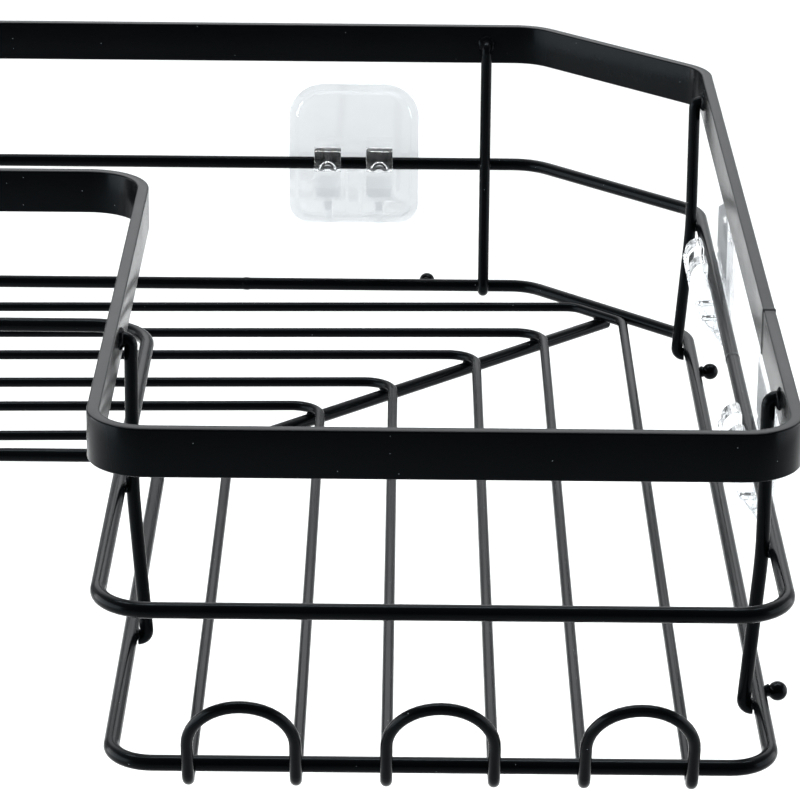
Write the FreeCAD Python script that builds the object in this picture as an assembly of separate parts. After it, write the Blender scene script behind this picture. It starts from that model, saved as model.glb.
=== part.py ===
import FreeCAD, Part
import math
import os
from FreeCAD import Vector

# Corner shower caddy: an L-shaped wire rack in black powder-coated steel, hung
# on four clear adhesive hook plates.
# Frame: millimetres, +Z up. The origin is where the two walls meet, at the
# height of the middle rail. The back wall is the plane y = 0, the side wall is
# x = 0, and the rack fills x < 0, y < 0. The rack is symmetric about x = y.

# --- driving dimensions -------------------------------------------------------
ARM_LENGTH = 378.0          # outer face of the wall side to the arm's end
ARM_WIDTH = 170.0           # outer face to outer face across one arm
WALL_GAP = 3.0              # wall to the outer face of the top band
CORNER_CHAMFER = 52.5       # cut of the wall corner, along each wall
OUTER_BEND = 15.0           # bend radius at the arm ends, at the outer face
INNER_BEND = 15.0           # bend radius at the inner corner, at the outer face
CHAMFER_BEND = 18.0         # bend radius at the ends of the chamfer

BAND_HEIGHT = 12.2
BAND_THICKNESS = 3.2
RAIL_WIRE = 4.0             # middle rail, bottom rail and brace
FLOOR_WIRE = 3.0            # floor loops with the hooks
UPRIGHT_WIRE = 3.5

MIDDLE_Z = 0.0
BOTTOM_Z = -41.2            # axis of the bottom rail
BAND_TOP_Z = 46.7
MIDDLE_INSET = 2.0          # rail axis inboard of the band's outer face
BOTTOM_INSET = 4.5

SLAT_FIRST = 24.4           # first floor wire from the outer face
SLAT_PAIR = 26.0            # the two wires of one loop, which is the hook's width
SLAT_PITCH = 47.8           # one loop to the next
SLAT_BEND = 9.0
CORNER_SLAT_BEND = 7.0
HOOK_LEAN = 21.0            # degrees, forward from upright
HOOK_HEIGHT = 21.0          # arch top above the bottom rail's axis
HOOK_REACH = 13.2           # arch top in front of the bottom rail's axis
HOOK_BEND = 5.0

UPRIGHT_CORNER = 69.0       # uprights near the wall corner, from the outer face
UPRIGHT_END = 336.0         # uprights near the arm ends, wall side
UPRIGHT_INNER = 296.0       # uprights on the open side of each arm
UPRIGHT_HEAD_Z = BAND_TOP_Z - 6.0
UPRIGHT_HEAD_INSET = 5.8    # the leg leans inboard from here, past both rails
UPRIGHT_END_BEND = 2.2
UPRIGHT_KINK_BEND = 150.0

BUMPER_PLACES = (87.5, 328.0)
BUMPER_BALL = 5.0
BUMPER_STEM = 2.5

PAD_PLACES = (112.0, 258.0)  # plate centres along each wall
PAD_WIDTH = 44.0
PAD_TOP = 26.5              # above the middle rail's axis
PAD_BOTTOM = -22.5
PAD_TOP_BEND = 12.0
PAD_BOTTOM_BEND = 7.5
PAD_RIM = 3.4               # width of the thinner border
PAD_RIM_THICKNESS = 0.9
PAD_THICKNESS = 1.55
SHEET_THICKNESS = 0.8
SHEET_MARGIN = 0.8

CLIP_WIDTH = 8.7
CLIP_PITCH = 16.9
CLIP_CLEARANCE = 0.3
CLIP_REACH = 7.6            # nose in front of the rail's axis
CLIP_NOSE = 4.5             # radius of the nose
CLIP_CHEEK = -2.5           # where the nose starts to slope back
CLIP_TOP = 6.4              # lip top above the rail's axis
CLIP_KNEE = 3.6             # front of the leg's foot, in front of the rail's axis
CLIP_FOOT = -12.0
GUSSET_WIDTH = 3.0
GUSSET_FOOT = -21.0
RIB_WIDTH = 4.3
RIB_TOP = -3.0
RIB_BOTTOM = -19.0
RIB_DEPTH = 2.0
RIB_ROUND = 1.2
ROOT_OVERLAP = 0.2          # clips and rib run this far into the plate, to be one moulding

# --- worked out from them -----------------------------------------------------
RAIL_R = RAIL_WIRE / 2
FLOOR_R = FLOOR_WIRE / 2
UPRIGHT_R = UPRIGHT_WIRE / 2
SLAT_TOUCH = RAIL_R + FLOOR_R            # axis to axis where a slat lies on a rail
SLAT_END_Z = BOTTOM_Z - SLAT_TOUCH       # slats pass under the rail at the arm ends
BRACE_Z = BOTTOM_Z - RAIL_WIRE           # the brace passes under the bottom rail
SLAT_MID_Z = BRACE_Z + SLAT_TOUCH        # slats lie on the brace at their bend
END_RAIL = WALL_GAP + ARM_LENGTH - BOTTOM_INSET
UPRIGHT_MIDDLE_INSET = MIDDLE_INSET + RAIL_R + UPRIGHT_R - 0.1   # the kink bend gives the 0.1 back
UPRIGHT_FOOT_INSET = BOTTOM_INSET + RAIL_R + UPRIGHT_END_BEND + 0.2
SQRT2 = math.sqrt(2)


def save(name, shape):
    """Write one sub-part, after checking that every solid in it is sound."""
    for solid in shape.Solids:
        if not solid.isValid() or solid.Volume <= 0:
            raise RuntimeError(name + " has a bad solid")
    shape.exportStep("parts/" + name + ".step")
    print(name, len(shape.Solids), "solid(s)", round(shape.Volume, 1), "mm3")


def mirrored(shape):
    """The same piece on the other arm: swap x and y."""
    return shape.mirror(Vector(0, 0, 0), Vector(1, -1, 0).normalize())


# --- bent wire ----------------------------------------------------------------
# A path is a list of runs. Each run is (start, end, centre), where centre is
# None for a straight run and the middle of the bend for an arc.
def corner_arc(before, point, after, radius):
    """The tangent arc that rounds one point of a path."""
    to_before = (before - point).normalize()
    to_after = (after - point).normalize()
    half = to_before.getAngle(to_after) / 2
    reach = radius / math.tan(half)
    bisector = (to_before + to_after).normalize()
    centre = point + bisector * (radius / math.sin(half))
    return point + to_before * reach, point + to_after * reach, centre


def round_path(points, radii, closed=False):
    """Straight runs joined by tangent arcs, one radius for each point that is rounded."""
    count = len(points)
    rounded = range(count) if closed else range(1, count - 1)
    arcs = [corner_arc(points[i - 1], points[i], points[(i + 1) % count], radii[i]) for i in rounded]
    runs = []
    here = arcs[-1][1] if closed else points[0]
    for arc in arcs:
        runs += [(here, arc[0], None), arc]
        here = arc[1]
    if not closed:
        runs.append((here, points[-1], None))
    return runs


def outline_face(runs):
    """Flat face inside a closed path."""
    edges = []
    for start, end, centre in runs:
        if centre is None:
            edges.append(Part.LineSegment(start, end).toShape())
        else:
            radius = start.distanceToPoint(centre)
            crown = centre + ((start + end) / 2 - centre).normalize() * radius
            edges.append(Part.Arc(start, crown, end).toShape())
    return Part.Face(Part.Wire(edges))


def disc(centre, normal, radius):
    return Part.Face(Part.Wire(Part.Circle(centre, normal, radius).toShape()))


def tube(runs, radius):
    """A round wire along the path, one run or bend after the other."""
    pieces = []
    length = 0.0
    for start, end, centre in runs:
        if centre is None:
            pieces.append(disc(start, end - start, radius).extrude(end - start))
            length += start.distanceToPoint(end)
        else:
            inner, outer = start - centre, end - centre
            axis = inner.cross(outer).normalize()
            angle = inner.getAngle(outer)
            pieces.append(disc(start, axis.cross(inner), radius).revolve(centre, axis, math.degrees(angle)))
            length += angle * inner.Length
    whole = pieces[0].multiFuse(pieces[1:]).removeSplitter() if len(pieces) > 1 else pieces[0]
    expected = math.pi * radius ** 2 * length
    if abs(whole.Volume / expected - 1) > 1e-3 or len(whole.Solids) != 1:
        raise RuntimeError("a wire lost volume: %.1f of %.1f" % (whole.Volume, expected))
    return whole.Solids[0]


# --- the three rings ----------------------------------------------------------
def ring_outline(inset, z):
    """Corner points and bend radii of a ring, inset from the band's outer face."""
    near = -(WALL_GAP + inset)
    far = -(WALL_GAP + ARM_LENGTH) + inset
    inner = -(WALL_GAP + ARM_WIDTH) + inset
    cut = -(WALL_GAP + CORNER_CHAMFER + inset * (SQRT2 - 1))
    points = [(cut, near), (near, cut), (near, far), (inner, far),
              (inner, inner), (far, inner), (far, near)]
    end_bend = OUTER_BEND - inset
    bends = [CHAMFER_BEND - inset, CHAMFER_BEND - inset, end_bend, end_bend,
             INNER_BEND + inset, end_bend, end_bend]
    return [Vector(x, y, z) for x, y in points], bends


def wire_ring(inset, z):
    points, bends = ring_outline(inset, z)
    return tube(round_path(points, bends, closed=True), RAIL_R)


def band_ring():
    """The flat bar, bent on edge into the ring."""
    bottom = BAND_TOP_Z - BAND_HEIGHT
    outlines = []
    for inset in (0.0, BAND_THICKNESS):
        points, bends = ring_outline(inset, bottom)
        outlines.append(outline_face(round_path(points, bends, closed=True)))
    up = Vector(0, 0, BAND_HEIGHT)
    return outlines[0].extrude(up).cut(outlines[1].extrude(up)).Solids[0]


# --- floor --------------------------------------------------------------------
def diagonal_brace():
    """Straight wire under the bottom rail, from the chamfer to the inner corner."""
    near = -(WALL_GAP + BOTTOM_INSET + CORNER_CHAMFER / 2 - 1.5)
    bend_gain = (INNER_BEND + BOTTOM_INSET) * (1 - 1 / SQRT2)
    far = -(WALL_GAP + ARM_WIDTH - BOTTOM_INSET) + bend_gain - 1.0
    return tube([(Vector(near, near, BRACE_Z), Vector(far, far, BRACE_Z), None)], RAIL_R)


def swap(point):
    """The same point on the other arm."""
    return Vector(point.y, point.x, point.z)


def hook(inset):
    """Arch of one hook at the right arm's end, with the feet of its two legs."""
    lean = math.radians(HOOK_LEAN)
    up_leg = Vector(0, -math.sin(lean), math.cos(lean))
    half = SLAT_PAIR / 2
    top = Vector(-(WALL_GAP + inset + half), -(END_RAIL + HOOK_REACH), BOTTOM_Z + HOOK_HEIGHT)
    centre = top - up_leg * half
    outer, inner = centre + Vector(half, 0, 0), centre - Vector(half, 0, 0)
    down = up_leg * -((centre.z - SLAT_END_Z) / math.cos(lean))
    arch = [(outer, top, centre), (top, inner, centre)]
    return arch, outer + down, inner + down


def floor_corner(inset, chamfered):
    """Bend points and radii of one floor wire near the wall corner, left arm first."""
    side = -(WALL_GAP + inset)
    if not chamfered:
        return [Vector(side, side, SLAT_MID_Z)], [SLAT_BEND]
    rail_cut = (CORNER_CHAMFER + 2 * WALL_GAP) / SQRT2 + BOTTOM_INSET
    cut = (rail_cut + SLAT_TOUCH) * SQRT2 + 2 * side
    near = Vector(side, side - cut, SLAT_MID_Z)
    return [swap(near), near], [CORNER_SLAT_BEND] * 2


def floor_wire(leg_top, foot, corner, bends):
    """Path of one floor wire, from the left arm's hook leg to the right arm's."""
    left, right = [swap(leg_top), swap(foot)], [foot, leg_top]
    return round_path(left + corner + right, [0, HOOK_BEND] + bends + [HOOK_BEND, 0])


def floor_loop(index):
    """One closed wire: two parallel floor wires joined by a hook at each arm end."""
    inset = SLAT_FIRST + index * SLAT_PITCH
    arch, outer_foot, inner_foot = hook(inset)
    left_arch = [tuple(swap(point) for point in run) for run in arch]
    outer = floor_wire(arch[0][0], outer_foot, *floor_corner(inset, index == 0))
    inner = floor_wire(arch[1][1], inner_foot, *floor_corner(inset + SLAT_PAIR, False))
    return tube(outer + arch + inner + left_arch, FLOOR_R)


# --- uprights and bumpers -----------------------------------------------------
def upright(along, side):
    """Upright on a side that faces +X at x = side, with `along` as its y."""
    head_end = Vector(side - BAND_THICKNESS, along, UPRIGHT_HEAD_Z)
    head = Vector(side - UPRIGHT_HEAD_INSET, along, UPRIGHT_HEAD_Z)
    kink = Vector(side - UPRIGHT_MIDDLE_INSET, along, MIDDLE_Z)
    foot_z = BOTTOM_Z - 1.0
    foot = Vector(side - UPRIGHT_FOOT_INSET, along, foot_z)
    foot_end = Vector(side - BOTTOM_INSET - RAIL_R, along, foot_z)
    bends = [0, UPRIGHT_END_BEND, UPRIGHT_KINK_BEND, UPRIGHT_END_BEND, 0]
    return tube(round_path([head_end, head, kink, foot, foot_end], bends), UPRIGHT_R)


def inner_upright(along, side):
    """Upright on the open side of the right arm: it turns the other way."""
    piece = upright(along, 0.0)
    turned = piece.mirror(Vector(0, 0, 0), Vector(1, 0, 0))
    turned.translate(Vector(side, 0, 0))
    return turned


def bumper(along):
    """Stem and ball that hold the bottom rail off the side wall."""
    rail_x = -(WALL_GAP + BOTTOM_INSET)
    ball_x = -BUMPER_BALL / 2
    ball = Part.makeSphere(BUMPER_BALL / 2, Vector(ball_x, along, BOTTOM_Z))
    at_rail = Vector(rail_x, along, BOTTOM_Z)
    stem = Part.makeCylinder(BUMPER_STEM / 2, ball_x - rail_x, at_rail, Vector(1, 0, 0))
    rail = Part.makeCylinder(RAIL_R, 2 * BUMPER_BALL, at_rail - Vector(0, BUMPER_BALL, 0), Vector(0, 1, 0))
    return stem.cut(rail).cut(ball).Solids[0], ball


# --- wall plates --------------------------------------------------------------
def plate_outline(x, margin):
    """Rounded outline of a plate that faces -Y, shrunk by a margin."""
    left, right = -PAD_WIDTH / 2 + margin, PAD_WIDTH / 2 - margin
    low, high = PAD_BOTTOM + margin, PAD_TOP - margin
    points = [Vector(left, x, high), Vector(right, x, high), Vector(right, x, low), Vector(left, x, low)]
    top, bottom = PAD_TOP_BEND - margin, PAD_BOTTOM_BEND - margin
    return outline_face(round_path(points, [top, top, bottom, bottom], closed=True))


def slab(front, margin, thickness):
    return plate_outline(front, margin).extrude(Vector(0, thickness, 0))


def clip(middle):
    """Thick hook with a slot that is open upwards, around the middle rail, and a round nose."""
    rail_y = -(WALL_GAP + MIDDLE_INSET)
    slot = RAIL_R + CLIP_CLEARANCE
    back = -SHEET_THICKNESS - PAD_THICKNESS + ROOT_OVERLAP
    front = rail_y - CLIP_REACH
    crest = front + CLIP_NOSE
    nose_z = CLIP_TOP - CLIP_NOSE
    diagonal = CLIP_NOSE * math.sqrt(0.5)
    left = middle - CLIP_WIDTH / 2

    def at(y, z):
        return Vector(left, y, z)

    nose = Part.Arc(at(crest, CLIP_TOP), at(crest - diagonal, nose_z + diagonal), at(front, nose_z))
    seat = Part.Arc(at(rail_y + slot, 0), at(rail_y, -slot), at(rail_y - slot, 0))
    lead_in = at(rail_y - slot, CLIP_TOP - (rail_y - slot - crest))
    lower = [at(front, CLIP_CHEEK), at(rail_y - CLIP_KNEE, CLIP_FOOT), at(back, CLIP_FOOT),
             at(back, 1.5), at(rail_y + slot, 1.5)]
    edges = [seat.toShape(), Part.LineSegment(seat.EndPoint, lead_in).toShape(),
             Part.LineSegment(lead_in, nose.StartPoint).toShape(), nose.toShape(),
             Part.LineSegment(nose.EndPoint, lower[0]).toShape()]
    for start, end in zip(lower, lower[1:]):
        edges.append(Part.LineSegment(start, end).toShape())
    edges.append(Part.LineSegment(lower[-1], seat.StartPoint).toShape())
    return Part.Face(Part.Wire(edges)).extrude(Vector(CLIP_WIDTH, 0, 0))


def gusset(middle):
    """Narrow web that carries a clip's leg on down the plate."""
    rail_y = -(WALL_GAP + MIDDLE_INSET)
    root = -SHEET_THICKNESS - PAD_RIM_THICKNESS + ROOT_OVERLAP / 2
    knee = rail_y - CLIP_KNEE
    left = middle - GUSSET_WIDTH / 2
    top = CLIP_FOOT + 1.0
    corners = [(knee, CLIP_FOOT), (root - 0.4, GUSSET_FOOT), (root, GUSSET_FOOT), (root, top), (knee, top)]
    points = [Vector(left, y, z) for y, z in corners]
    return Part.Face(Part.makePolygon(points + points[:1])).extrude(Vector(GUSSET_WIDTH, 0, 0))


def rib():
    """Rounded rib between the two clips."""
    front = -SHEET_THICKNESS - PAD_THICKNESS
    half = RIB_WIDTH / 2
    crest = front - RIB_DEPTH
    corner = Vector(-half, crest, RIB_BOTTOM)
    box = Part.makeBox(RIB_WIDTH, RIB_DEPTH + ROOT_OVERLAP, RIB_TOP - RIB_BOTTOM, corner)
    crest_edges = [edge for edge in box.Edges if edge.BoundBox.YMax < crest + 1e-3]
    return box.makeFillet(RIB_ROUND, crest_edges)


def wall_plate(along):
    """Clear moulded plate on the back wall, with two clips and a rib."""
    back_of_plate = -SHEET_THICKNESS
    plate = slab(back_of_plate - PAD_RIM_THICKNESS, 0.0, PAD_RIM_THICKNESS)
    plate = plate.fuse(slab(back_of_plate - PAD_THICKNESS, PAD_RIM, PAD_THICKNESS))
    for side in (-1, 1):
        plate = plate.fuse(clip(side * CLIP_PITCH / 2))
        plate = plate.fuse(gusset(side * CLIP_PITCH / 2))
    plate = plate.fuse(rib()).removeSplitter()
    plate.translate(Vector(along, 0, 0))
    return plate.Solids[0]


def adhesive_sheet(along):
    sheet = slab(-SHEET_THICKNESS, SHEET_MARGIN, SHEET_THICKNESS)
    sheet.translate(Vector(along, 0, 0))
    return sheet.Solids[0]


# --- build --------------------------------------------------------------------
os.makedirs("parts", exist_ok=True)

save("top_rail", band_ring())
save("middle_rail", wire_ring(MIDDLE_INSET, MIDDLE_Z))
save("bottom_rail", wire_ring(BOTTOM_INSET, BOTTOM_Z))
save("diagonal_brace", diagonal_brace())
for index, place in enumerate(("outer", "middle", "inner")):
    save("floor_loop_" + place, floor_loop(index))

uprights = {
    "corner": upright(-(WALL_GAP + UPRIGHT_CORNER), -WALL_GAP),
    "end": upright(-(WALL_GAP + UPRIGHT_END), -WALL_GAP),
    "inner": inner_upright(-(WALL_GAP + UPRIGHT_INNER), -(WALL_GAP + ARM_WIDTH)),
}
for place, piece in uprights.items():
    save("upright_right_" + place, piece)
    save("upright_left_" + place, mirrored(piece))

for place, along in zip(("corner", "end"), BUMPER_PLACES):
    stem, ball = bumper(-(WALL_GAP + along))
    save("bumper_stem_right_" + place, stem)
    save("bumper_ball_right_" + place, ball)
    save("bumper_stem_left_" + place, mirrored(stem))
    save("bumper_ball_left_" + place, mirrored(ball))

for place, along in zip(("corner", "end"), PAD_PLACES):
    plate = wall_plate(-(WALL_GAP + along))
    sheet = adhesive_sheet(-(WALL_GAP + along))
    save("wall_plate_left_" + place, plate)
    save("adhesive_sheet_left_" + place, sheet)
    save("wall_plate_right_" + place, mirrored(plate))
    save("adhesive_sheet_right_" + place, mirrored(sheet))
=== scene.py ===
import math

import bmesh
import bpy
from bpy.props import FloatProperty, FloatVectorProperty, PointerProperty
from mathutils import Matrix, Vector, noise


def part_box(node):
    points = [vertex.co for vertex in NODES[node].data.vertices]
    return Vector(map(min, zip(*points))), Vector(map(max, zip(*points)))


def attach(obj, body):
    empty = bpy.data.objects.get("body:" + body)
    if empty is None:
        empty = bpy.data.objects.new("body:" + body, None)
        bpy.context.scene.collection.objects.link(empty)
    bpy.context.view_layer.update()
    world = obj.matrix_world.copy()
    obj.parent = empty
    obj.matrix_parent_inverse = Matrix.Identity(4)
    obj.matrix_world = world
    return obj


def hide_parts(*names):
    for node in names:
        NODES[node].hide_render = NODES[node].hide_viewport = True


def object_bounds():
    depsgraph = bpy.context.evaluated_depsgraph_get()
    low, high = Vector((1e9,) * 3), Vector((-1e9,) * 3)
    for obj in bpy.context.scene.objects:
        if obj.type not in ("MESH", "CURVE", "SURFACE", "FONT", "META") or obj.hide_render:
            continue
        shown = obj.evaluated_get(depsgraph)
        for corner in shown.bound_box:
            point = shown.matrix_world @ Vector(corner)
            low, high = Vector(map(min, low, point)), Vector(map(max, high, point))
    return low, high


bl_info = {
    "name": "Corner shower caddy",
    "version": (1, 0, 0),
    "blender": (4, 5, 0),
    "location": "View3D > Sidebar > Caddy",
    "description": "Finishes and fine detail for an L-shaped wire shower caddy on clear wall plates",
    "category": "Object",
}

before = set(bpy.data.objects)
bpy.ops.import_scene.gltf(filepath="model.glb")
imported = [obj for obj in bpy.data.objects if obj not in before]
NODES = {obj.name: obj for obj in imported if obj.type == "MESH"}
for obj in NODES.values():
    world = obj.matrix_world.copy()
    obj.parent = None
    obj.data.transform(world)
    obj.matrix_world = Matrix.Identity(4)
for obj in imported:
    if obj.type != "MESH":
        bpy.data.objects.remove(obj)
CAD_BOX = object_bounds()
MM = 0.001

# --- places taken from the frame ---------------------------------------------------------------
BAND_LOW, BAND_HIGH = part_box("top_rail")
MIDDLE_LOW, MIDDLE_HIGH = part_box("middle_rail")
BOTTOM_LOW, BOTTOM_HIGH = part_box("bottom_rail")
RAIL_RADIUS = (BOTTOM_HIGH.z - BOTTOM_LOW.z) / 2
BOTTOM_AXIS_Z = (BOTTOM_HIGH.z + BOTTOM_LOW.z) / 2
MIDDLE_AXIS_Z = (MIDDLE_HIGH.z + MIDDLE_LOW.z) / 2
WALL_GAP = -BAND_HIGH.x
ARM_LENGTH = BAND_HIGH.x - BAND_LOW.x
BAND_HEIGHT = BAND_HIGH.z - BAND_LOW.z
RAIL_FROM_WALL = -MIDDLE_HIGH.x + RAIL_RADIUS   # the middle rail's axis, out from the wall

# --- fixed sizes of the rack -------------------------------------------------------------------
BEND_STEPS = 14
FLOOR_WIRE_RADIUS = 1.5 * MM
LOOP_CORNER_CUT = 2.64 * MM        # how far a floor loop's bend cuts inside its corner, over the brace
OUTER_LOOP_ON_BRACE = -34.9 * MM   # the outer loop is chamfered, so it meets the brace further in
MIDDLE_SEAM_Y = -196 * MM
BOTTOM_SEAM_X = -150 * MM
SEAM_SIDES = 32

# (along the bar, how proud) in mm: a bead ground back, with a shallow dip beside it
BUTT_WELD_SHAPE = ((-2.4, 0.0), (-1.3, 0.10), (-0.6, 0.19), (-0.1, 0.12),
                   (0.4, -0.06), (0.9, -0.12), (2.0, -0.06), (3.6, 0.0))
# (along the wire, how proud) in mm: a collar dressed back almost flush
SEAM_SHAPE = ((-1.9, -0.05), (-1.2, 0.05), (-0.5, 0.14), (0.1, 0.11), (0.8, 0.04), (1.5, -0.05))

# half sizes of each kind of weld on the right arm, as shares of half a weld bead
CROSSING_WELD = (0.95, 0.95, 0.42)
BRACE_WELD = (0.9, 0.9, 0.4)
HEAD_WELD = (0.72, 1.6, 1.7)
JOINT_WELD = (0.5, 1.25, 0.8)
STEM_WELD = (0.6, 1.0, 0.95)
HEAD_WELD_DROP = 2.0 * MM          # below the top of the upright
STEM_WELD_INSET = 0.9 * MM         # in from the stem's welded end

# --- fixed sizes of the plates: out from the rail's axis or the wall, and up from the rail -----
CLIP_SLOT_GAP = 0.3 * MM
CLIP_REACH = 7.6 * MM
CLIP_NOSE = 4.5 * MM
CLIP_TOP = 6.4 * MM
CLIP_CHEEK = -2.5 * MM
CLIP_KNEE = 3.6 * MM
CLIP_FOOT = -12 * MM
CLIP_HEEL = 1.5 * MM
CLIP_ROOT = 2.15 * MM
GUSSET_HEAD = -11 * MM
GUSSET_FOOT = -21 * MM
GUSSET_ROOT = 1.6 * MM
GUSSET_TOE = 0.4 * MM
GUSSET_HALF_WIDTH = 1.5 * MM
RIB_HALF_WIDTH = 2.15 * MM
RIB_TOP = -3 * MM
RIB_FOOT = -19 * MM
RIB_PROUD = 2 * MM
RIB_SUNK = 0.2 * MM
MARK_OUTER = 2.6 * MM
MARK_INNER = 1.6 * MM
MARK_PROUD = 0.7 * MM
MARK_SUNK = 0.6 * MM
BORDER_BENDS = (7.5 * MM, 12 * MM)   # lower corners, upper corners
FIELD_BENDS = (4.1 * MM, 8.6 * MM)
SOFTENING_PASSES = 4
KEPT_FACES = 0.4

# --- fixed places of the stage -----------------------------------------------------------------
FLOOR_REACH = 30.0
SKY_DIM, SKY_BRIGHT = 0.12, 1.1
CAMERA_PLACE = (-0.09752, -1.22611, 0.3632)
CAMERA_TURN = (69.9349, -0.4581, 0.2427)   # degrees
# name, place, point aimed at, width, depth, watts
LIGHTS = (
    ("overhead", (-0.15, 0.75, 1.5), (-0.15, 0.5, -0.3), 1.8, 1.0, 9),
    ("top_strip", (-0.15, 0.1, 1.6), (-0.15, 0.1, 0.0), 1.8, 0.18, 32),
    ("back_panel", (-0.15, 3.4, 1.9), (-0.15, 2.4, -0.3), 4.0, 2.4, 66),
    ("left_panel", (-1.45, -0.35, 0.15), (-0.15, -0.35, 0.15), 1.8, 0.9, 34),
    ("right_panel", (1.15, -0.1, 0.15), (-0.15, -0.1, 0.15), 1.6, 0.9, 18),
)


def hex_colour(text):
    """An sRGB hex colour as linear red, green and blue."""
    channels = [int(text[i:i + 2], 16) / 255 for i in (1, 3, 5)]
    return [c / 12.92 if c <= 0.04045 else ((c + 0.055) / 1.055) ** 2.4 for c in channels]


class CaddyRack(bpy.types.PropertyGroup):
    arm_width: FloatProperty(
        name="Arm width", description="Across one arm, outer face to outer face",
        default=170 * MM, unit="LENGTH")
    corner_chamfer: FloatProperty(
        name="Corner chamfer", description="Cut of the wall corner, along each wall",
        default=52.5 * MM, unit="LENGTH")
    band_thickness: FloatProperty(
        name="Bar thickness", description="Thickness of the flat bar of the top rail",
        default=3.2 * MM, unit="LENGTH")
    band_edge: FloatProperty(
        name="Bar edge", description="Radius that the rolled bar and its coat leave on the edges",
        default=0.5 * MM, unit="LENGTH")
    outer_bend: FloatProperty(
        name="Outer bend", description="Bend radius at the arm ends, at the outer face",
        default=15 * MM, unit="LENGTH")
    chamfer_bend: FloatProperty(
        name="Chamfer bend", description="Bend radius at the ends of the corner chamfer",
        default=18 * MM, unit="LENGTH")
    butt_weld: FloatProperty(
        name="Butt weld", description="Place along the side wall of the weld that closes the bar",
        default=-290 * MM, unit="LENGTH")
    hook_width: FloatProperty(
        name="Hook width", description="Between the two legs of one hook, axis to axis",
        default=26 * MM, unit="LENGTH")
    weld_size: FloatProperty(
        name="Weld size", description="Length of a weld bead where two wires cross",
        default=3.4 * MM, unit="LENGTH")


class CaddyPlates(bpy.types.PropertyGroup):
    rim_width: FloatProperty(
        name="Rim width", description="Width of the thinner border of a wall plate",
        default=3.4 * MM, unit="LENGTH")
    rim_thickness: FloatProperty(
        name="Rim thickness", description="Thickness of a plate at its border",
        default=0.9 * MM, unit="LENGTH")
    thickness: FloatProperty(
        name="Thickness", description="Thickness of a plate inside its border",
        default=1.55 * MM, unit="LENGTH")
    clip_width: FloatProperty(
        name="Clip width", description="Width of one hooked clip along the rail",
        default=8.7 * MM, unit="LENGTH")
    clip_pitch: FloatProperty(
        name="Clip pitch", description="Between the middles of the two clips",
        default=16.9 * MM, unit="LENGTH")
    voxel: FloatProperty(
        name="Moulding grain", description="Size of the grid that rounds the moulded plate's corners",
        default=0.30 * MM, unit="LENGTH", precision=5)


class CaddyFinish(bpy.types.PropertyGroup):
    coat: FloatVectorProperty(
        name="Powder coat", description="Colour of the satin powder coat",
        subtype="COLOR", default=hex_colour("#050607"))
    ball_coat: FloatVectorProperty(
        name="Ball coat", description="Colour of the glossy coat on the bumper balls",
        subtype="COLOR", default=hex_colour("#050506"))
    plate_tint: FloatVectorProperty(
        name="Plate tint", description="Tint of the clear plates",
        subtype="COLOR", default=hex_colour("#FCFEFF"))
    sheet_tint: FloatVectorProperty(
        name="Sheet tint", description="Tint of the clear adhesive sheets",
        subtype="COLOR", default=hex_colour("#F6F8F9"))


class CaddyStage(bpy.types.PropertyGroup):
    floor_drop: FloatProperty(
        name="Floor drop", description="From the rack's lowest wire down to the floor",
        default=0.30, unit="LENGTH")
    floor_behind: FloatProperty(
        name="Floor behind", description="From the wall corner back to the far edge of the floor",
        default=4.0, unit="LENGTH")
    floor_colour: FloatVectorProperty(
        name="Floor", description="Colour of the pale floor",
        subtype="COLOR", default=hex_colour("#DBDCDC"))
    lens: FloatProperty(
        name="Lens", description="Focal length of the camera, in millimetres", default=174.08)


# --- materials ---------------------------------------------------------------------------------
def add(tree, kind, settings=None, **links):
    """One node, with its settings, and with links to its named inputs."""
    node = tree.nodes.new(kind)
    for name, value in (settings or {}).items():
        if isinstance(name, int) or name in node.inputs:
            node.inputs[name].default_value = value
        else:
            setattr(node, name, value)
    for name, socket in links.items():
        tree.links.new(socket, node.inputs[name.replace("_", " ")])
    return node


def new_material(name):
    material = bpy.data.materials.new(name)
    material.use_nodes = True
    tree = material.node_tree
    tree.nodes.clear()
    output = tree.nodes.new("ShaderNodeOutputMaterial")
    return material, tree, output


def per_metre(size_mm):
    """Texture scale that makes one feature this many millimetres wide."""
    return 1.0 / (size_mm * MM)


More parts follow.
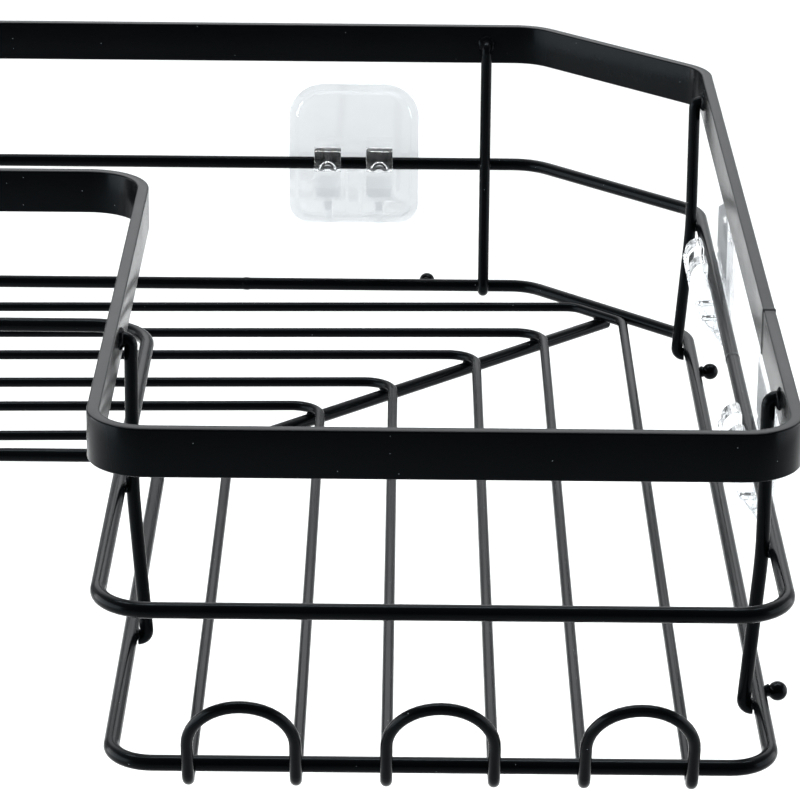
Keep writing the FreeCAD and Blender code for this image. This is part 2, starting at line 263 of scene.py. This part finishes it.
def powder_coated_steel(name, colour, roughness):
    """Satin polyester powder coat, sprayed and baked on steel wire.

    It flows into a faint orange peel, pools a little unevenly, and catches a
    few pale dust nibs, so highlights along the wires are soft and broken.
    """
    peel_mm, sag_mm, cloud_mm, nib_spacing_mm = 1.1, 9, 22, 2.4
    thin, thick = 0.75, 1.35    # shares of the colour where the coat is thin and where it pools
    nib_radius = 0.055          # of their spacing: 0.26 mm across, so that they show; real ones are finer
    nib_share = 0.20            # of the places where one could be
    material, tree, output = new_material(name)
    place = add(tree, "ShaderNodeTexCoord").outputs["Object"]
    cloud = add(tree, "ShaderNodeTexNoise", {"Scale": per_metre(cloud_mm), "Detail": 3.0}, Vector=place)
    tone = add(tree, "ShaderNodeMix", {"data_type": "RGBA"}, Factor=cloud.outputs["Fac"])
    tone.inputs[6].default_value = (*[c * thin for c in colour], 1)
    tone.inputs[7].default_value = (*[c * thick for c in colour], 1)
    cells = add(tree, "ShaderNodeTexVoronoi",
                {"Scale": per_metre(nib_spacing_mm), "Randomness": 1.0}, Vector=place)
    speck = add(tree, "ShaderNodeMath",
                {"operation": "LESS_THAN", 1: nib_radius}, Value=cells.outputs["Distance"])
    pick = add(tree, "ShaderNodeSeparateColor", None, Color=cells.outputs["Color"])
    rare = add(tree, "ShaderNodeMath",
               {"operation": "GREATER_THAN", 1: 1 - nib_share}, Value=pick.outputs[0])
    nib = add(tree, "ShaderNodeMath", {"operation": "MULTIPLY"})
    tree.links.new(speck.outputs[0], nib.inputs[0])
    tree.links.new(rare.outputs[0], nib.inputs[1])
    dusty = add(tree, "ShaderNodeMix", {"data_type": "RGBA"}, Factor=nib.outputs[0])
    tree.links.new(tone.outputs[2], dusty.inputs[6])
    dusty.inputs[7].default_value = (*hex_colour("#6E7376"), 1)
    sheen = add(tree, "ShaderNodeMapRange",
                {"To Min": roughness - 0.05, "To Max": roughness + 0.07}, Value=cloud.outputs["Fac"])
    peel = add(tree, "ShaderNodeTexNoise", {"Scale": per_metre(peel_mm), "Detail": 2.0}, Vector=place)
    sag = add(tree, "ShaderNodeTexNoise", {"Scale": per_metre(sag_mm), "Detail": 1.0}, Vector=place)
    bump = add(tree, "ShaderNodeBump",
               {"Strength": 0.35, "Distance": 0.03 * MM}, Height=peel.outputs["Fac"])
    flow = add(tree, "ShaderNodeBump", {"Strength": 0.5, "Distance": 0.12 * MM},
               Height=sag.outputs["Fac"], Normal=bump.outputs["Normal"])
    # the matting agent in the coat holds its shine well below that of clear resin, and cools it
    shader = add(tree, "ShaderNodeBsdfPrincipled",
                 {"IOR": 1.13, "Metallic": 0.0, "Specular Tint": (0.74, 0.89, 1.0, 1.0)},
                 Base_Color=dusty.outputs[2], Roughness=sheen.outputs[0], Normal=flow.outputs["Normal"])
    tree.links.new(shader.outputs[0], output.inputs["Surface"])
    return material


def clear_polycarbonate(name, colour):
    """Injection-moulded clear plastic.

    The mould leaves polished faces with slight flow ripples, so what stands
    behind a plate shows through it, bent a little at the clips and edges.
    """
    ripple_mm = 11
    material, tree, output = new_material(name)
    place = add(tree, "ShaderNodeTexCoord").outputs["Object"]
    ripple = add(tree, "ShaderNodeTexNoise", {"Scale": per_metre(ripple_mm), "Detail": 1.0}, Vector=place)
    bump = add(tree, "ShaderNodeBump",
               {"Strength": 0.14, "Distance": 0.10 * MM}, Height=ripple.outputs["Fac"])
    shader = add(tree, "ShaderNodeBsdfPrincipled",
                 {"IOR": 1.49, "Roughness": 0.04, "Transmission Weight": 1.0,
                  "Base Color": (*colour, 1)}, Normal=bump.outputs["Normal"])
    tree.links.new(shader.outputs[0], output.inputs["Surface"])
    return material


def clear_adhesive(name, colour):
    """Cast acrylic gel sheet: see-through, with a light haze that the trapped air makes uneven."""
    haze_mm = 3
    material, tree, output = new_material(name)
    place = add(tree, "ShaderNodeTexCoord").outputs["Object"]
    haze = add(tree, "ShaderNodeTexNoise", {"Scale": per_metre(haze_mm), "Detail": 4.0}, Vector=place)
    veil = add(tree, "ShaderNodeMapRange", {"To Min": 0.10, "To Max": 0.24}, Value=haze.outputs["Fac"])
    shader = add(tree, "ShaderNodeBsdfPrincipled",
                 {"IOR": 1.45, "Roughness": 0.25, "Base Color": (*colour, 1)}, Alpha=veil.outputs[0])
    tree.links.new(shader.outputs[0], output.inputs["Surface"])
    return material


def finish(kind):
    """The material for one finish, made once and then shared."""
    found = bpy.data.materials.get(kind)
    if found:
        return found
    colours = bpy.context.scene.caddy_finish
    makers = {
        "satin_powder_coat": lambda: powder_coated_steel(kind, colours.coat, 0.20),
        "gloss_powder_coat": lambda: powder_coated_steel(kind, colours.ball_coat, 0.14),
        "clear_polycarbonate": lambda: clear_polycarbonate(kind, colours.plate_tint),
        "clear_adhesive": lambda: clear_adhesive(kind, colours.sheet_tint),
    }
    return makers[kind]()


def dress(item, kind):
    item.data.materials.clear()
    item.data.materials.append(finish(kind))


# --- mesh helpers ------------------------------------------------------------------------------
def new_piece(name, mesh, body, kind):
    """A finished piece: linked, smooth, dressed, and riding on its body."""
    mesh.name = name
    for face in mesh.polygons:
        face.use_smooth = True
    piece = bpy.data.objects.new(name, mesh)
    bpy.context.scene.collection.objects.link(piece)
    dress(piece, kind)
    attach(piece, body)
    return piece


def bend_points(before, point, after, radius, steps):
    """(place, outward normal) pairs of the tangent arc at one corner of a closed plan."""
    to_before = (before - point).normalized()
    to_after = (after - point).normalized()
    half = to_before.angle(to_after) / 2
    reach = radius / math.tan(half)
    centre = point + (to_before + to_after).normalized() * (radius / math.sin(half))
    start = point + to_before * reach - centre
    end = point + to_after * reach - centre
    turn = start.to_2d().angle_signed(end.to_2d())
    pairs = []
    for i in range(steps + 1):
        spoke = Matrix.Rotation(-turn * i / steps, 3, "Z") @ start
        pairs.append((centre + spoke, spoke.normalized()))
    return pairs


def rail_plan(rack, inset):
    """Corner points and bend radii of a rail, in plan, inset from the band's outer face."""
    near = -(WALL_GAP + inset)
    far = -(WALL_GAP + ARM_LENGTH) + inset
    inner = -(WALL_GAP + rack.arm_width) + inset
    cut = -(WALL_GAP + rack.corner_chamfer + inset * (math.sqrt(2) - 1))
    points = [(cut, near), (near, cut), (near, far), (inner, far),
              (inner, inner), (far, inner), (far, near)]
    end = rack.outer_bend - inset
    chamfer = rack.chamfer_bend - inset
    radii = [chamfer, chamfer, end, end, rack.outer_bend + inset, end, end]
    return [Vector((x, y, 0)) for x, y in points], radii


def band_path(rack):
    """Places along the band's outer face, the way out of the face, and how proud it stands."""
    points, radii = rail_plan(rack, 0.0)
    count = len(points)
    path = []
    for i, (point, radius) in enumerate(zip(points, radii)):
        before, after = points[i - 1], points[(i + 1) % count]
        pairs = bend_points(before, point, after, radius, BEND_STEPS)
        reentrant = (before - point).cross(after - point).z < 0
        path += [(place, -out if reentrant else out, 0.0) for place, out in pairs]
        if i == 1:
            path += butt_weld(rack)
    return path


def butt_weld(rack):
    """Places across the ground-back weld that closes the bar, with how proud each one stands."""
    out = Vector((1, 0, 0))
    return [(Vector((-WALL_GAP, rack.butt_weld - along * MM, 0)), out, proud * MM)
            for along, proud in BUTT_WELD_SHAPE]


def closed_sweep(rings):
    """Mesh of a closed sweep: each ring of points joined to the next, and the last to the first."""
    count, width = len(rings), len(rings[0])
    verts = [point for ring in rings for point in ring]
    faces = []
    for i in range(count):
        for j in range(width):
            k = (j + 1) % width
            n = (i + 1) % count
            faces.append((i * width + j, i * width + k, n * width + k, n * width + j))
    mesh = bpy.data.meshes.new("sweep")
    mesh.from_pydata(verts, [], faces)
    return mesh


def face_outwards(mesh):
    """Turn every face of a closed mesh outwards."""
    shape = bmesh.new()
    shape.from_mesh(mesh)
    bmesh.ops.recalc_face_normals(shape, faces=shape.faces)
    shape.to_mesh(mesh)
    shape.free()


def rounded_bar_section(width, height, radius, steps=4):
    """(across, up) points round a bar's section, from its outer face inwards."""
    section = []
    for corner_x, corner_y, first in ((0, 1, 0), (1, 1, 90), (1, 0, 180), (0, 0, 270)):
        centre_x = width - radius if corner_x else radius
        centre_y = height - radius if corner_y else radius
        for i in range(steps + 1):
            angle = math.radians(180 - first - 90 * i / steps)
            section.append((centre_x + radius * math.cos(angle), centre_y + radius * math.sin(angle)))
    return section


def weld_blob(shape, centre, size, seed):
    """One frozen drop of weld: a lumpy, slightly sunken ball under the coat."""
    made = bmesh.ops.create_icosphere(shape, subdivisions=3, radius=1.0)
    offset = Vector((seed * 7.31, seed * 3.17, seed * 5.93))
    for vert in made["verts"]:
        way = vert.co.normalized()
        lump = 1 + 0.22 * noise.noise(way * 1.3 + offset) + 0.10 * noise.noise(way * 3.1 + offset)
        vert.co = centre + Vector((way.x * size[0], way.y * size[1], way.z * size[2])) * lump


def rail_seam(shape, centre, along_x):
    """Collar of weld where a rail's two ends meet, dressed back almost flush."""
    rings = []
    for along, proud in SEAM_SHAPE:
        ring = []
        for i in range(SEAM_SIDES):
            angle = math.radians(360 / SEAM_SIDES * i)
            lump = proud * (1 + 0.5 * noise.noise(Vector((math.cos(angle), math.sin(angle), along)) * 1.7))
            radius = RAIL_RADIUS + lump * MM
            offset = Vector((radius * math.cos(angle), along * MM, radius * math.sin(angle)))
            if along_x:
                offset = swapped(offset)
            ring.append(shape.verts.new(centre + offset))
        rings.append(ring)
    for lower, upper in zip(rings, rings[1:]):
        for i in range(SEAM_SIDES):
            k = (i + 1) % SEAM_SIDES
            shape.faces.new((lower[i], lower[k], upper[k], upper[i]))
    shape.faces.new(list(reversed(rings[0])))
    shape.faces.new(rings[-1])
    bmesh.ops.recalc_face_normals(shape, faces=shape.faces)


def swapped(place):
    """The same place on the other arm."""
    return Vector((place.y, place.x, place.z))


def swapped_size(size):
    """The same half sizes on the other arm."""
    return (size[1], size[0], size[2])


def bead_size(rack, shares):
    """Half sizes of one kind of weld."""
    return tuple(rack.weld_size / 2 * share for share in shares)


def weld_piece(name, blobs):
    """All the given welds as one piece on the rack; blobs are (centre, half sizes)."""
    shape = bmesh.new()
    for seed, (centre, size) in enumerate(blobs):
        weld_blob(shape, centre, size, seed + len(name))
    mesh = bpy.data.meshes.new(name)
    shape.to_mesh(mesh)
    shape.free()
    return new_piece(name, mesh, "rack", "satin_powder_coat")


# --- rack --------------------------------------------------------------------------------------
class CADDY_OT_top_rail(bpy.types.Operator):
    """Flat-bar top rail with rolled edges and its butt weld"""
    bl_idname = "caddy.top_rail"
    bl_label = "Top rail"

    def execute(self, context):
        rack = context.scene.caddy_rack
        section = rounded_bar_section(rack.band_thickness, BAND_HEIGHT, rack.band_edge)
        rings = []
        half_width, half_height = rack.band_thickness / 2, BAND_HEIGHT / 2
        for place, out, proud in band_path(rack):
            ring = []
            for across, up in section:
                across += proud * (across - half_width) / half_width
                up += proud * (up - half_height) / half_height
                ring.append(place - out * across + Vector((0, 0, BAND_LOW.z + up)))
            rings.append(ring)
        mesh = closed_sweep(rings)
        face_outwards(mesh)
        rail = new_piece("top_rail_bar", mesh, "rack", "satin_powder_coat")
        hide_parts("top_rail")
        return {"FINISHED"}


class CADDY_OT_wires(bpy.types.Operator):
    """Round wire of the rails, floor, uprights and bumpers"""
    bl_idname = "caddy.wires"
    bl_label = "Wires and bumpers"

    def execute(self, context):
        for name, node in NODES.items():
            if name.startswith(("wall_plate", "adhesive_sheet", "top_rail")):
                continue
            dress(node, "gloss_powder_coat" if name.startswith("bumper_ball") else "satin_powder_coat")
        return {"FINISHED"}


class CADDY_OT_welds(bpy.types.Operator):
    """Weld beads where wires cross, on both arms"""
    bl_idname = "caddy.welds"
    bl_label = "Welds"

    def execute(self, context):
        rack = context.scene.caddy_rack
        floor_blobs = []
        crossing_size = bead_size(rack, CROSSING_WELD)
        for loop in ("outer", "middle", "inner"):
            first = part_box("floor_loop_" + loop)[1].x - FLOOR_WIRE_RADIUS
            for slat_x in (first, first - rack.hook_width):
                place = Vector((slat_x, BOTTOM_LOW.y + RAIL_RADIUS, BOTTOM_LOW.z))
                floor_blobs += [(place, crossing_size), (swapped(place), swapped_size(crossing_size))]
                corner = slat_x - LOOP_CORNER_CUT
                if loop == "outer" and slat_x == first:
                    corner = OUTER_LOOP_ON_BRACE
                on_brace = Vector((corner, corner, BOTTOM_LOW.z))
                floor_blobs.append((on_brace, bead_size(rack, BRACE_WELD)))
        weld_piece("floor_welds", floor_blobs)

        rail_blobs = []
        head_size, joint_size = bead_size(rack, HEAD_WELD), bead_size(rack, JOINT_WELD)
        on_middle = -MIDDLE_HIGH.x - WALL_GAP + 2 * RAIL_RADIUS
        on_bottom = -BOTTOM_HIGH.x - WALL_GAP + 2 * RAIL_RADIUS
        for spot in ("corner", "end", "inner"):
            low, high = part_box("upright_right_" + spot)
            along = (low.y + high.y) / 2
            side, step = -WALL_GAP, -1
            if spot == "inner":
                side, step = -WALL_GAP - rack.arm_width, 1
            head = Vector((side + step * rack.band_thickness, along, high.z - HEAD_WELD_DROP))
            middle = Vector((side + step * on_middle, along, MIDDLE_AXIS_Z))
            foot = Vector((side + step * on_bottom, along, BOTTOM_AXIS_Z))
            for place, size in ((head, head_size), (middle, joint_size), (foot, joint_size)):
                rail_blobs += [(place, size), (swapped(place), swapped_size(size))]
        weld_piece("upright_welds", rail_blobs)

        stem_blobs = []
        stem_size = bead_size(rack, STEM_WELD)
        for spot in ("corner", "end"):
            low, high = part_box("bumper_stem_right_" + spot)
            place = Vector((low.x + STEM_WELD_INSET, (low.y + high.y) / 2, BOTTOM_AXIS_Z))
            stem_blobs += [(place, stem_size), (swapped(place), swapped_size(stem_size))]
        weld_piece("bumper_welds", stem_blobs)

        seams = bmesh.new()
        on_side_wall = Vector((MIDDLE_HIGH.x - RAIL_RADIUS, MIDDLE_SEAM_Y, MIDDLE_AXIS_Z))
        rail_seam(seams, on_side_wall, False)
        on_back_wall = Vector((BOTTOM_SEAM_X, BOTTOM_HIGH.y - RAIL_RADIUS, BOTTOM_AXIS_Z))
        rail_seam(seams, on_back_wall, True)
        mesh = bpy.data.meshes.new("rail_seams")
        seams.to_mesh(mesh)
        seams.free()
        new_piece("rail_seams", mesh, "rack", "satin_powder_coat")
        return {"FINISHED"}


# --- wall plates -------------------------------------------------------------------------------
def rounded_outline(left, right, bottom, top, low_bend, high_bend, steps=10):
    """Points round a plate whose upper corners are rounder than its lower ones."""
    points = []
    corners = ((right, top, high_bend, 0), (left, top, high_bend, 90),
               (left, bottom, low_bend, 180), (right, bottom, low_bend, 270))
    for x, z, bend, first in corners:
        centre_x = x - bend if x == right else x + bend
        centre_z = z - bend if z == top else z + bend
        for i in range(steps + 1):
            angle = math.radians(first + 90 * i / steps)
            points.append((centre_x + bend * math.cos(angle), centre_z + bend * math.sin(angle)))
    return points


def prism(shape, outline, start, end, place):
    """Closed block: an outline pushed from start to end, where place puts (a, b, depth) in space."""
    near = [shape.verts.new(place(a, b, start)) for a, b in outline]
    far = [shape.verts.new(place(a, b, end)) for a, b in outline]
    shape.faces.new(near)
    shape.faces.new(list(reversed(far)))
    for i in range(len(outline)):
        k = (i + 1) % len(outline)
        shape.faces.new((near[k], near[i], far[i], far[k]))


def clip_profile():
    """(out from the wall, up) round one thick hooked clip; the rail's axis is at height 0."""
    rail = RAIL_FROM_WALL
    slot = RAIL_RADIUS + CLIP_SLOT_GAP
    front = rail + CLIP_REACH
    crest = front - CLIP_NOSE
    slot_steps, nose_steps = 12, 10
    points = []
    for i in range(slot_steps + 1):
        angle = math.radians(-180 * i / slot_steps)
        points.append((rail - slot * math.cos(angle), slot * math.sin(angle)))
    points.append((rail + slot, CLIP_TOP - (crest - rail - slot)))
    for i in range(nose_steps + 1):
        angle = math.radians(90 - 90 * i / nose_steps)
        points.append((crest + CLIP_NOSE * math.cos(angle),
                       CLIP_TOP - CLIP_NOSE + CLIP_NOSE * math.sin(angle)))
    points += [(front, CLIP_CHEEK), (rail + CLIP_KNEE, CLIP_FOOT), (CLIP_ROOT, CLIP_FOOT),
               (CLIP_ROOT, CLIP_HEEL), (rail - slot, CLIP_HEEL)]
    return points


def gusset_profile():
    """(out from the wall, up) round the narrow web that carries a clip's leg down the plate."""
    knee = RAIL_FROM_WALL + CLIP_KNEE
    return [(knee, CLIP_FOOT), (GUSSET_ROOT + GUSSET_TOE, GUSSET_FOOT), (GUSSET_ROOT, GUSSET_FOOT),
            (GUSSET_ROOT, GUSSET_HEAD), (knee, GUSSET_HEAD)]


def half_ring(x, z, outer, inner, steps=12):
    """Points round the upper half of a flat ring."""
    turns = [math.pi * i / steps for i in range(steps + 1)]
    rim = [(x + outer * math.cos(a), z + outer * math.sin(a)) for a in turns]
    return rim + [(x + inner * math.cos(a), z + inner * math.sin(a)) for a in reversed(turns)]


def moulded_plate(plates, node):
    """The clear plate at this node of the back wall, as overlapping blocks.

    They are the thin border and the thicker field inside it, two hooked clips
    with their webs, the rib between them, and a half-round mark on each nose.
    """
    low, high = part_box(node)
    middle = (low.x + high.x) / 2
    back = -high.y
    rim = plates.rim_width
    face = back + plates.thickness
    clip_centres = [middle + side * plates.clip_pitch / 2 for side in (-1, 1)]
    shape = bmesh.new()

    def on_wall(a, b, depth):
        return (a, -depth, b)

    border = rounded_outline(low.x, high.x, low.z, high.z, *BORDER_BENDS)
    prism(shape, border, back, back + plates.rim_thickness, on_wall)
    field = rounded_outline(low.x + rim, high.x - rim, low.z + rim, high.z - rim, *FIELD_BENDS)
    prism(shape, field, back, face, on_wall)

    def across(a, b, depth):
        return (depth, -a, b)

    half_clip = plates.clip_width / 2
    for centre in clip_centres:
        prism(shape, clip_profile(), centre - half_clip, centre + half_clip, across)
        prism(shape, gusset_profile(), centre - GUSSET_HALF_WIDTH, centre + GUSSET_HALF_WIDTH, across)
    rib = [(middle - RIB_HALF_WIDTH, RIB_FOOT), (middle + RIB_HALF_WIDTH, RIB_FOOT),
           (middle + RIB_HALF_WIDTH, RIB_TOP), (middle - RIB_HALF_WIDTH, RIB_TOP)]
    prism(shape, rib, face - RIB_SUNK, face + RIB_PROUD, on_wall)
    nose = RAIL_FROM_WALL + CLIP_REACH
    for centre in clip_centres:
        mark = half_ring(centre, 0.0, MARK_OUTER, MARK_INNER)
        prism(shape, mark, nose - MARK_SUNK, nose + MARK_PROUD, on_wall)
    bmesh.ops.recalc_face_normals(shape, faces=shape.faces)
    mesh = bpy.data.meshes.new(node)
    shape.to_mesh(mesh)
    shape.free()
    return mesh


def fused_and_rounded(mesh, voxel):
    """The same volume as one skin, its edges rounded as a mould rounds them."""
    rough = bpy.data.objects.new("rough", mesh)
    bpy.context.scene.collection.objects.link(rough)
    remesh = rough.modifiers.new("fuse", "REMESH")
    remesh.mode = "VOXEL"
    remesh.voxel_size = voxel
    soften = rough.modifiers.new("soften", "SMOOTH")
    soften.factor = 0.5
    soften.iterations = SOFTENING_PASSES
    thin = rough.modifiers.new("thin", "DECIMATE")
    thin.ratio = KEPT_FACES
    graph = bpy.context.evaluated_depsgraph_get()
    fused = bpy.data.meshes.new_from_object(rough.evaluated_get(graph))
    bpy.data.objects.remove(rough)
    return fused


class CADDY_OT_wall_plates(bpy.types.Operator):
    """Clear moulded wall plates and the adhesive sheets behind them"""
    bl_idname = "caddy.wall_plates"
    bl_label = "Wall plates"

    def execute(self, context):
        plates = context.scene.caddy_plates
        for spot in ("corner", "end"):
            mesh = fused_and_rounded(moulded_plate(plates, "wall_plate_left_" + spot), plates.voxel)
            twin = mesh.copy()
            twin.transform(Matrix(((0, 1, 0, 0), (1, 0, 0, 0), (0, 0, 1, 0), (0, 0, 0, 1))))
            twin.flip_normals()
            for arm, skin in (("left", mesh), ("right", twin)):
                name = "wall_plate_" + arm + "_" + spot
                piece = new_piece(name + "_moulding", skin, "wall_plates",
                                  "clear_polycarbonate")
                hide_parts(name)
        for name, node in NODES.items():
            if name.startswith("adhesive_sheet"):
                dress(node, "clear_adhesive")
        return {"FINISHED"}


# --- stage -------------------------------------------------------------------------------------
def matt_pale_board(name, colour):
    """Matt painted board: it scatters light evenly and mirrors nothing of the rack."""
    material, tree, output = new_material(name)
    place = add(tree, "ShaderNodeTexCoord").outputs["Object"]
    # a roller's stipple is a few millimetres wide; it is drawn coarser so that it shows at all
    stipple_mm = 40
    grain = add(tree, "ShaderNodeTexNoise", {"Scale": per_metre(stipple_mm), "Detail": 3.0}, Vector=place)
    bump = add(tree, "ShaderNodeBump",
               {"Strength": 0.1, "Distance": 0.2 * MM}, Height=grain.outputs["Fac"])
    board = add(tree, "ShaderNodeBsdfPrincipled",
                {"Roughness": 0.9, "Base Color": (*colour, 1)}, Normal=bump.outputs["Normal"])
    tree.links.new(board.outputs[0], output.inputs["Surface"])
    return material


def lay_floor(stage):
    """The pale floor, well below the rack."""
    mesh = bpy.data.meshes.new("floor")
    drop = CAD_BOX[0].z - stage.floor_drop
    mesh.from_pydata([(-FLOOR_REACH, -FLOOR_REACH, drop), (FLOOR_REACH, -FLOOR_REACH, drop),
                      (FLOOR_REACH, stage.floor_behind, drop), (-FLOOR_REACH, stage.floor_behind, drop)],
                     [], [(0, 1, 2, 3)])
    floor = bpy.data.objects.new("floor", mesh)
    bpy.context.scene.collection.objects.link(floor)
    floor.data.materials.append(matt_pale_board("matt_pale_board", stage.floor_colour))


def hang_sky():
    """Soft surrounding light, dim in front and bright behind, so faces that look forwards stay dark."""
    sky = bpy.data.worlds.new("sky")
    sky.use_nodes = True
    tree = sky.node_tree
    background = tree.nodes["Background"]
    way = add(tree, "ShaderNodeTexCoord").outputs["Generated"]
    parts = add(tree, "ShaderNodeSeparateXYZ", None, Vector=way)
    ahead = add(tree, "ShaderNodeMapRange",
                {"From Min": -0.4, "From Max": 0.6, "To Min": SKY_DIM, "To Max": SKY_BRIGHT},
                Value=parts.outputs["Y"])
    tree.links.new(ahead.outputs[0], background.inputs["Strength"])
    background.inputs["Color"].default_value = (*hex_colour("#F5F9FC"), 1)
    bpy.context.scene.world = sky


def soft_light(name, place, aim, width, depth, power):
    """A rectangular soft box that the camera doesn't see."""
    data = bpy.data.lights.new(name, "AREA")
    data.shape = "RECTANGLE"
    data.size = width
    data.size_y = depth
    data.energy = power
    lamp = bpy.data.objects.new(name, data)
    lamp.location = place
    lamp.visible_camera = False
    lamp.rotation_euler = (Vector(aim) - Vector(place)).to_track_quat("-Z", "Y").to_euler()
    bpy.context.scene.collection.objects.link(lamp)


class CADDY_OT_stage(bpy.types.Operator):
    """Pale floor, soft lights and the camera"""
    bl_idname = "caddy.stage"
    bl_label = "Stage"

    def execute(self, context):
        scene = context.scene
        stage = scene.caddy_stage
        lay_floor(stage)
        hang_sky()
        for light in LIGHTS:
            soft_light(*light)
        scene.view_settings.view_transform = "Standard"

        camera_data = bpy.data.cameras.new("camera")
        camera_data.lens = stage.lens
        camera_data.sensor_width = 36.0
        camera = bpy.data.objects.new("camera", camera_data)
        camera.location = CAMERA_PLACE
        camera.rotation_euler = [math.radians(angle) for angle in CAMERA_TURN]
        scene.collection.objects.link(camera)
        scene.camera = camera
        return {"FINISHED"}


# --- panel and registration ----------------------------------------------------------------------
class CADDY_PT_panel(bpy.types.Panel):
    """Every piece of the caddy, and its sizes and colours"""
    bl_label = "Shower caddy"
    bl_idname = "CADDY_PT_panel"
    bl_space_type = "VIEW_3D"
    bl_region_type = "UI"
    bl_category = "Caddy"

    def draw(self, context):
        for operator in OPERATORS:
            self.layout.operator(operator.bl_idname)
        for name in GROUPS:
            settings = getattr(context.scene, name)
            for prop in settings.__annotations__:
                self.layout.prop(settings, prop)


OPERATORS = (CADDY_OT_top_rail, CADDY_OT_wires, CADDY_OT_welds, CADDY_OT_wall_plates, CADDY_OT_stage)
GROUPS = {"caddy_rack": CaddyRack, "caddy_plates": CaddyPlates,
          "caddy_finish": CaddyFinish, "caddy_stage": CaddyStage}


def register():
    for kind in (*GROUPS.values(), *OPERATORS, CADDY_PT_panel):
        bpy.utils.register_class(kind)
    for name, kind in GROUPS.items():
        setattr(bpy.types.Scene, name, PointerProperty(type=kind))


def unregister():
    for name in GROUPS:
        delattr(bpy.types.Scene, name)
    for kind in (CADDY_PT_panel, *reversed(OPERATORS), *reversed(list(GROUPS.values()))):
        bpy.utils.unregister_class(kind)


def main():
    register()
    for operator in OPERATORS:
        family, action = operator.bl_idname.split(".")
        getattr(getattr(bpy.ops, family), action)()


if __name__ == "__main__":
    main()
